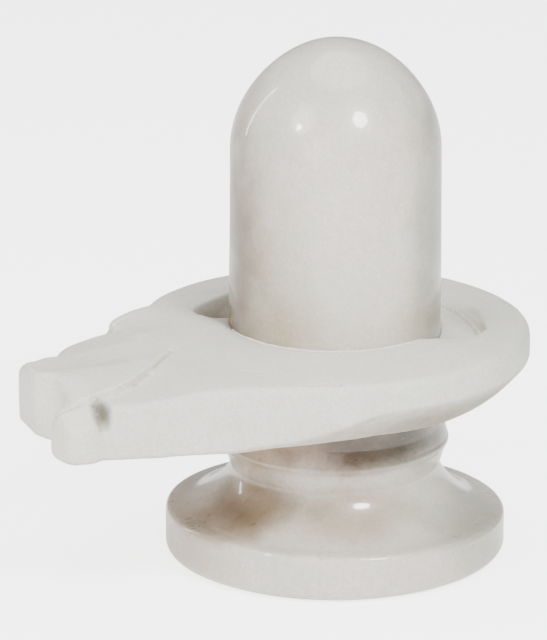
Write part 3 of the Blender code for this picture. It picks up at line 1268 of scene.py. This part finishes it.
    def disc_rings(self) -> Rings:
        """Return the disc's rings, from the socket's floor outwards, over and under.

        Returns:
            The rings, each with one point for each point of the outline.
        """
        plan = np.array(self.outline())
        centre = np.array([-self.disc_shift, 0.0])
        spokes = plan - centre
        outs = np.hypot(spokes[:, 0], spokes[:, 1])
        ways = spokes / outs[:, None]
        angles = np.degrees(np.arctan2(spokes[:, 1], spokes[:, 0]))
        edges = np.array([self.moat_edge(angle) for angle in angles])
        floors = np.array([self.moat_floor(angle) for angle in angles])
        falls = [self.disc_fall(*(centre + way * edge)) for way, edge in zip(ways, edges)]
        tops = self.rim_top - np.array(falls)
        brow = np.minimum(self.brow_radius, (tops - floors) * self.most_of_wall)
        room = np.minimum(edges - self.socket_radius, tops - floors)
        fillet = np.minimum(self.fillet_radius, room * self.most_of_wall)
        foot = edges - self.wall_lean - fillet
        section = [(self.socket_radius, self.seat_z), (self.socket_radius, floors)]
        for share in (0.3, 0.6, 1.0):
            section.append((self.socket_radius + (foot - self.socket_radius) * share, floors))
        for turn in (30.0, 60.0, 90.0):
            turned = math.radians(turn)
            section.append((foot + fillet * math.sin(turned), floors + fillet * (1.0 - math.cos(turned))))
        for turn in (0.0, 30.0, 60.0):
            turned = math.radians(turn)
            section.append((edges + brow * (1.0 - math.cos(turned)), tops - brow * (1.0 - math.sin(turned))))
        rings = []
        for radius, height in section:
            spots = centre + ways * np.broadcast_to(radius, len(ways))[:, None]
            levels = np.broadcast_to(height, len(ways))
            rings.append([self.to_world(*spot, level) for spot, level in zip(spots, levels)])
        rings += self.cap_rings(
            plan, centre, edges + brow, self.disc_fall, self.disc_edge, self.disc_cap_rings,
        )
        rings += self.wall_rings(plan, self.disc_fall, self.disc_edge, self.underside_z)
        rings.append([
            self.to_world(*(centre + way * self.seat_radius), self.underside_z) for way in ways
        ])
        return rings

    def block_rings(self, block: Block) -> Rings:
        """Return one block's rings, from the middle of its top outwards and down its wall.

        Args:
            block: the block.

        Returns:
            The rings, each with one point for each point of the block's plan.
        """
        closed = list(block.corners) + list(block.corners[:2])
        plan = np.array(spaced(rounded(closed)[1:-1], self.spout_spacing)[:-1])
        centre = plan.mean(0)
        inner = np.full(len(plan), 0.0008)
        rings = self.cap_rings(plan, centre, inner, block.fall, block.edge, self.block_cap_rings)
        rings += self.wall_rings(plan, block.fall, block.edge, None)
        shrunk = centre + (plan - centre) * 0.4
        rings.append([self.to_world(*spot, self.belly(spot[0])) for spot in shrunk])
        return rings

    def cap_rings(
        self, plan: np.ndarray, centre: np.ndarray, inner: np.ndarray, fall: Fall,
        edge: Fall, count: int,
    ) -> Rings:
        """Return the rings of a top, out to its rounded edge.

        Args:
            plan: the outline's points.
            centre: the middle that the rings grow from.
            inner: distance from the middle at which the top starts, one a spoke.
            fall: how far below the rim the top is.
            edge: the rounding radius of its edge.
            count: number of rings.

        Returns:
            The rings in order.
        """
        spokes = plan - centre
        outs = np.hypot(spokes[:, 0], spokes[:, 1])
        ways = spokes / outs[:, None]
        rings = []
        for index in range(count):
            share = 1.0 - (1.0 - index / (count - 1)) ** 1.4
            spots = centre + ways * (inner + (outs - inner) * share)[:, None]
            inward = distance_in(spots, plan) if index < count - 1 else np.zeros(len(spots))
            ring = []
            for (reach, side), away in zip(spots, inward):
                radius = edge(reach, side)
                drop = radius - math.sqrt(radius ** 2 - max(radius - away, 0.0) ** 2)
                ring.append(self.to_world(reach, side, self.rim_top - fall(reach, side) - drop))
            rings.append(ring)
        return rings

    def wall_rings(
        self, plan: np.ndarray, fall: Fall, edge: Fall,
        disc_level: float | None,
    ) -> Rings:
        """Return the rings of a wall and, under the disc, of the cut-back below it.

        Args:
            plan: the outline's points.
            fall: how far below the rim the top is.
            edge: the rounding radius of its edge.
            disc_level: height that the disc's cut-back reaches, or None for a block of the spout.

        Returns:
            The rings in order.
        """
        wall_count, cut_count = 10, 8
        walls: list[list] = [[] for _ in range(wall_count)]
        cuts: list[list] = [[] for _ in range(cut_count)]
        for reach, side in plan:
            away = abs(math.degrees(math.atan2(side, reach)))
            rise = curve(self.wall_rise, away) if disc_level is not None else 0.0
            pull = curve(self.under_pull, away) if disc_level is not None else 0.0
            top = self.rim_top - fall(reach, side) - edge(reach, side)
            low = self.belly(reach)
            if disc_level is not None:
                low = max(low, disc_level - self.spout_belly)
            foot = low + 0.001 + (self.rim_top - self.rim_wall - low - 0.001) * rise
            for index in range(wall_count):
                share = (index + 1) / wall_count
                walls[index].append(self.to_world(reach, side, top + (foot - top) * share))
            reduce = min(1.0 + (self.underside_radius / self.disc_radius - 1.0) * pull, 0.992)
            for index in range(cut_count):
                share = (index + 1) / cut_count
                shrink = 1.0 + (reduce - 1.0) * share
                sag = 0.10 * rise * math.sin(math.pi * share)
                level = foot + (low - foot) * min(share + sag, 1.0)
                cuts[index].append(self.to_world(reach * shrink, side * shrink, level))
        return walls + cuts

    @staticmethod
    def grow(builder: bmesh.types.BMesh, place: object, rings: Rings) -> None:
        """Extrude a circle outwards, ring by ring, and close both ends.

        Args:
            builder: the mesh that it goes into.
            place: the layer that numbers each ring's points.
            rings: the rings' points, all of one length.
        """
        made = bmesh.ops.create_circle(builder, segments=len(rings[0]), radius=1.0)
        for index, vert in enumerate(made["verts"]):
            vert[place] = index
            vert.co = rings[0][index]
        edges = list({edge for vert in made["verts"] for edge in vert.link_edges})
        bmesh.ops.edgeloop_fill(builder, edges=edges)
        for ring in rings[1:]:
            grown = bmesh.ops.extrude_edge_only(builder, edges=edges)["geom"]
            fresh = {item for item in grown if isinstance(item, bmesh.types.BMVert)}
            for vert in fresh:
                vert.co = ring[vert[place]]
            edges = [item for item in grown if isinstance(item, bmesh.types.BMEdge)
                     and item.verts[0] in fresh and item.verts[1] in fresh]
        bmesh.ops.edgeloop_fill(builder, edges=edges)

    def fuse(self, builder: bmesh.types.BMesh) -> bmesh.types.BMesh:
        """Make the overlapping blocks one skin of even grain.

        Args:
            builder: the blocks; it is used up.

        Returns:
            The fused mesh.
        """
        mesh = bpy.data.meshes.new("rough_stone")
        builder.to_mesh(mesh)
        builder.free()
        rough = bpy.data.objects.new("rough_stone", mesh)
        bpy.context.scene.collection.objects.link(rough)
        remesh = rough.modifiers.new("one_skin", "REMESH")
        remesh.mode = "VOXEL"
        remesh.voxel_size = self.voxel
        fused = bmesh.new()
        fused.from_object(rough, bpy.context.evaluated_depsgraph_get())
        bpy.data.objects.remove(rough)
        bpy.data.meshes.remove(mesh)
        return fused

    def cuts(self) -> tuple[Stroke, ...]:
        """Return the carved lines: the tongue's creases, the far corner's line and the moat's crest.

        Returns:
            The lines; one with a negative depth stands proud.
        """
        return (
            Stroke(self.crease[1:], 0.0015, 0.0009),
            Stroke(((0.1430, 0.0064), (0.1360, 0.0140), (0.1290, 0.0228)), 0.0014, 0.0005),
            Stroke(((0.0900, -0.0440), (0.0800, -0.0500)), 0.0014, 0.0007),
            Stroke(((0.0439, 0.0768), (0.0380, 0.0792), (0.0320, 0.0812), (0.0250, 0.0838)), 0.0014, 0.0010),
            Stroke(((0.0600, 0.0520), (0.0530, 0.0580)), 0.0013, 0.0006),
            Stroke(self.moat_crest, 0.0012, -0.0014),
            Stroke(tuple((reach - 0.0024, side + 0.0006) for reach, side in self.moat_crest), 0.0018, 0.0008),
        )

    @staticmethod
    def off_leg(here: Vector, start: Vector, leg: Vector) -> float:
        """Return how far a plan place is from one straight leg of a carved line."""
        share = min(max((here - start).dot(leg) / leg.length_squared, 0.0), 1.0)
        return (here - start - leg * share).length

    def carve(self, builder: bmesh.types.BMesh) -> None:
        """Cut the carved lines into the surfaces that face up or out.

        Args:
            builder: the stone's mesh.
        """
        builder.normal_update()
        for cut in self.cuts():
            legs = [(Vector(a), Vector(b) - Vector(a)) for a, b in zip(cut.path, cut.path[1:])]
            low = [min(spot[axis] for spot in cut.path) - cut.width for axis in (0, 1)]
            high = [max(spot[axis] for spot in cut.path) + cut.width for axis in (0, 1)]
            for vert in builder.verts:
                here = Vector((-vert.co.x - self.disc_shift, -vert.co.y))
                inside = low[0] < here.x < high[0] and low[1] < here.y < high[1]
                if not inside or vert.normal.z < 0.25:
                    continue
                nearest = min(self.off_leg(here, start, leg) for start, leg in legs)
                vert.co -= vert.normal * cut.depth * (1.0 - smooth(0.0, cut.width, nearest))

    def is_carved(self, spot: Vector) -> bool:
        """Tell whether a place carries fine carving and needs a finer skin.

        Args:
            spot: the place.

        Returns:
            Whether it lies in one of the carved zones.
        """
        for low_x, high_x, low_y, high_y, depth in self.carved_zones:
            if low_x < spot.x < high_x and low_y < spot.y < high_y and spot.z > self.rim_top - depth:
                return True
        return False

    def mesh_builder(self) -> bmesh.types.BMesh:
        """Fuse the disc and the spout's blocks into one stone, even it out and carve it.

        Returns:
            The stone's mesh.
        """
        rough = bmesh.new()
        place = rough.verts.layers.int.new("place")
        self.grow(rough, place, self.disc_rings())
        for block in self.blocks():
            self.grow(rough, place, self.block_rings(block))
        bmesh.ops.recalc_face_normals(rough, faces=rough.faces)
        stone = self.fuse(rough)
        fine = [edge for edge in stone.edges if all(self.is_carved(vert.co) for vert in edge.verts)]
        bmesh.ops.subdivide_edges(stone, edges=fine, cuts=1, use_grid_fill=True)
        for _ in range(self.even_passes):
            bmesh.ops.smooth_vert(
                stone, verts=stone.verts, factor=0.5, use_axis_x=True, use_axis_y=True, use_axis_z=True,
            )
        self.carve(stone)
        lowest = self.underside_z - self.spout_belly + 0.0002
        self.weather(stone, depth=0.0006, wave=0.030, seed=5.7, floor=lowest)
        return stone

    def finish_of(self) -> tuple[MarbleFinish, tuple[Stain, ...]]:
        """Return honed marble with painted shade in the moat's deep end, the moat's far and right sides, the
        knob's notch, the right walls and the cut-back under the rim, and painted light on the spout's end.

        Returns:
            The finish and the tinted places.
        """
        return HONED, (
            # Painted shade: the moat, the knob's notch, the right walls and the cut-back under the rim are
            # darkened.
            Stain((-0.036, 0.044, 0.096), (0.024, 0.022, 0.012), (0.50, 0.44, 0.37), 1.0),
            Stain((-0.046, 0.018, 0.105), (0.015, 0.014, 0.010), (0.74, 0.67, 0.60), 0.9),
            Stain((0.000, 0.062, 0.103), (0.060, 0.012, 0.006), (0.70, 0.66, 0.60), 0.8),
            Stain((0.060, -0.010, 0.104), (0.010, 0.026, 0.004), (0.82, 0.78, 0.75), 0.8),
            Stain((-0.1278, -0.0545, 0.0960), (0.0040, 0.0120, 0.0085), (0.32, 0.30, 0.25), 1.0),
            Stain((0.036, -0.066, 0.082), (0.080, 0.050, 0.013), (0.50, 0.46, 0.40), 0.9),
            Stain((0.080, -0.010, 0.100), (0.030, 0.060, 0.030), (0.80, 0.84, 0.78), 0.7),
            Stain((0.068, -0.058, 0.098), (0.034, 0.034, 0.014), (0.84, 0.87, 0.82), 0.9),
            # Painted light: tints above white brighten the spout's end facets.
            Stain((-0.1440, -0.0220, 0.0920), (0.0090, 0.0150, 0.0220), (1.26, 1.22, 1.20), 1.0),
            Stain((-0.1450, -0.0500, 0.0900), (0.0160, 0.0150, 0.0200), (1.16, 1.13, 1.10), 1.0),
        )


@dataclass
class FootJoint(CarvedPiece):
    """The thin line of set lime where the shaft's foot meets the yoni's filled front."""

    yoni: Yoni
    radius: float
    thickness: float = 0.00048
    first: float = -2.0
    last: float = 132.0
    fade: float = 26.0
    tall: float = 2.0
    ripple: float = 0.00025
    ripple_scale: float = 210.0
    section_points: int = 10
    steps: int = 150
    name: str = "foot_joint"
    node: str = ""

    def mesh_builder(self) -> bmesh.types.BMesh:
        """Spin a small round section part of the way about the shaft and set it on the yoni.

        Returns:
            The joint's mesh.
        """
        builder = bmesh.new()
        made = bmesh.ops.create_circle(
            builder, cap_ends=True, segments=self.section_points, radius=self.thickness,
        )
        bmesh.ops.rotate(builder, verts=made["verts"], matrix=Matrix.Rotation(math.pi / 2, 3, "X"))
        bmesh.ops.translate(builder, verts=made["verts"], vec=(-self.radius, 0.0, 0.0))
        start = Matrix.Rotation(math.radians(self.first), 3, "Z")
        bmesh.ops.rotate(builder, cent=(0.0, 0.0, 0.0), verts=made["verts"], matrix=start)
        bmesh.ops.spin(
            builder, geom=builder.verts[:] + builder.edges[:] + builder.faces[:], cent=(0.0, 0.0, 0.0),
            axis=(0.0, 0.0, 1.0), angle=math.radians(self.last - self.first), steps=self.steps,
        )
        for vert in builder.verts:
            bearing = math.degrees(math.atan2(-vert.co.y, -vert.co.x))
            swell = self.ripple * noise.noise(vert.co * self.ripple_scale)
            shown = smooth(self.first, self.first + self.fade, bearing)
            shown *= smooth(self.last, self.last - self.fade, bearing)
            level = self.yoni.moat_floor(bearing) - self.thickness * (self.tall - shown)
            vert.co.z = level + self.tall * vert.co.z + swell
        return builder

    def finish_of(self) -> tuple[MarbleFinish, tuple[Stain, ...]]:
        """Return honed white with neither crystals nor tinted places."""
        return replace(HONED, light=(0.82, 0.79, 0.74), cloud=(0.76, 0.75, 0.70), crystals=0.0), ()


@dataclass(frozen=True)
class Lamp:
    """One soft lamp: a disc, or an upright strip where its height is given."""

    name: str
    way: Place
    away: float
    size: float
    power: float
    color: Color = (1.0, 0.98, 0.96)
    tall: float = 0.0


@dataclass
class Studio:
    """The plain floor, the soft light and the camera at the photograph's viewing angle."""

    turn: float = 20.0
    elevation: float = 17.5
    distance: float = 2.6
    target_z: float = 0.1215
    frame_width: int = 547
    frame_height: int = 640
    metres_per_pixel: float = 0.00045
    axis_column: float = 335.0
    row_offset: float = 28.3
    sensor: float = 36.0
    clip_end: float = 50.0
    floor_size: float = 12.0
    lamp_target: Place = (0.0, 0.0, 0.16)
    lamps: tuple[Lamp, ...] = (
        Lamp("key_window", (0.171, -0.723, 0.670), 1.5, 0.40, 28.0, (1.0, 0.985, 0.96)),
        Lamp("left_window", (-0.791, -0.307, 0.531), 1.6, 0.16, 5.0),
        Lamp("left_pane", (-0.720, -0.290, 0.630), 1.7, 0.75, 11.0, (1.0, 0.98, 0.95)),
        Lamp("end_wash", (-0.66, -0.74, 0.15), 2.0, 1.0, 9.0, (1.0, 0.98, 0.95)),
        Lamp("front_wash", (-0.32, -0.88, 0.34), 2.2, 1.5, 10.0, (1.0, 0.99, 0.97)),
        Lamp("top_wash", (0.10, 0.15, 1.0), 1.9, 1.8, 31.0, (1.0, 1.0, 1.0)),
        Lamp("back_strip", (-0.660, 0.700, 0.330), 1.6, 0.08, 5.0, (1.0, 1.0, 1.0), 1.0),
    )
    sky: Color = (0.98, 0.99, 1.0)
    sky_strength: float = 0.42
    floor_color: Color = (0.94, 0.94, 0.94)
    floor_roughness: float = 0.9
    floor_glow: float = 0.45
    floor_white: float = 3.2

    def build(self) -> None:
        """Make the floor, the world, the lamps and the camera."""
        self._floor()
        self._world()
        for lamp in self.lamps:
            self._hang(lamp)
        self._camera()

    def _floor(self) -> None:
        """Make the plain pale floor, whiter to the eye than in the light that it throws back."""
        builder = bmesh.new()
        bmesh.ops.create_grid(builder, x_segments=2, y_segments=2, size=self.floor_size / 2)
        mesh = bpy.data.meshes.new("studio_floor")
        builder.to_mesh(mesh)
        builder.free()
        material = bpy.data.materials.new("floor_paper")
        material.use_nodes = True
        shader = material.node_tree.nodes["Principled BSDF"]
        shader.inputs["Base Color"].default_value = (*self.floor_color, 1.0)
        shader.inputs["Roughness"].default_value = self.floor_roughness
        shader.inputs["Emission Color"].default_value = (1.0, 1.0, 1.0, 1.0)
        bench = NodeBench(material.node_tree)
        seen = material.node_tree.nodes.new("ShaderNodeLightPath").outputs["Is Camera Ray"]
        glow = bench.math("ADD", bench.times(seen, self.floor_white - self.floor_glow), self.floor_glow)
        bench.put(shader.inputs["Emission Strength"], glow)
        mesh.materials.append(material)
        floor = bpy.data.objects.new("studio_floor", mesh)
        bpy.context.scene.collection.objects.link(floor)

    def _world(self) -> None:
        """Light everything softly from all round."""
        world = bpy.data.worlds.new("studio_world")
        world.use_nodes = True
        background = world.node_tree.nodes["Background"]
        background.inputs["Color"].default_value = (*self.sky, 1.0)
        background.inputs["Strength"].default_value = self.sky_strength
        bpy.context.scene.world = world

    def _hang(self, lamp: Lamp) -> None:
        """Hang one lamp and point it at the piece.

        Args:
            lamp: the lamp.
        """
        light = bpy.data.lights.new(lamp.name, "AREA")
        light.shape = "RECTANGLE" if lamp.tall else "DISK"
        light.size = lamp.size
        light.size_y = lamp.tall or lamp.size
        light.energy = lamp.power
        light.color = lamp.color
        hung = bpy.data.objects.new(lamp.name, light)
        direction = Vector(lamp.way).normalized()
        hung.location = Vector(self.lamp_target) + direction * lamp.away
        hung.rotation_euler = direction.to_track_quat("Z", "Y").to_euler()
        bpy.context.scene.collection.objects.link(hung)

    def _camera(self) -> None:
        """Place the camera where the photograph was taken from."""
        data = bpy.data.cameras.new("photo_camera")
        data.sensor_width = self.sensor
        data.lens = self.sensor * self.distance / (self.frame_height * self.metres_per_pixel)
        data.shift_x = -(self.axis_column - self.frame_width / 2) / self.frame_height
        data.shift_y = -self.row_offset / self.frame_height
        data.clip_end = self.clip_end
        turn, lift = math.radians(self.turn), math.radians(self.elevation)
        back = Vector((-math.sin(turn) * math.cos(lift), -math.cos(turn) * math.cos(lift), math.sin(lift)))
        camera = bpy.data.objects.new("photo_camera", data)
        camera.location = Vector((0.0, 0.0, self.target_z)) + back * self.distance
        camera.rotation_euler = back.to_track_quat("Z", "Y").to_euler()
        bpy.context.scene.collection.objects.link(camera)
        bpy.context.scene.camera = camera


def main() -> None:
    """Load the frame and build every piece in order."""
    logging.basicConfig(level=logging.INFO, format="%(name)s: %(message)s")
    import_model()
    groups = EffectGroups()
    shaft_low, shaft_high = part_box("lingam")
    yoni_low, yoni_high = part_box("yoni")
    foot_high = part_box("pedestal")[1]
    disc_radius = (yoni_high.y - yoni_low.y) / 2
    disc_shift = disc_radius - yoni_high.x
    Shaft(foot_z=shaft_low.z, top_z=shaft_high.z - CROWN_WEAR, radius=shaft_high.x).build(groups)
    Pedestal(foot_radius=foot_high.x, collar_top=foot_high.z).build(groups)
    yoni = Yoni(
        disc_radius=disc_radius, disc_shift=disc_shift, rim_top=RIM_TOP, underside_z=foot_high.z + BED_GAP,
        seat_z=shaft_low.z - BED_GAP, socket_radius=shaft_high.x - SOCKET_LAP,
    )
    yoni.build(groups)
    FootJoint(yoni=yoni, radius=shaft_high.x + JOINT_OUT).build(groups)
    Studio().build()


if __name__ == "__main__":
    main()
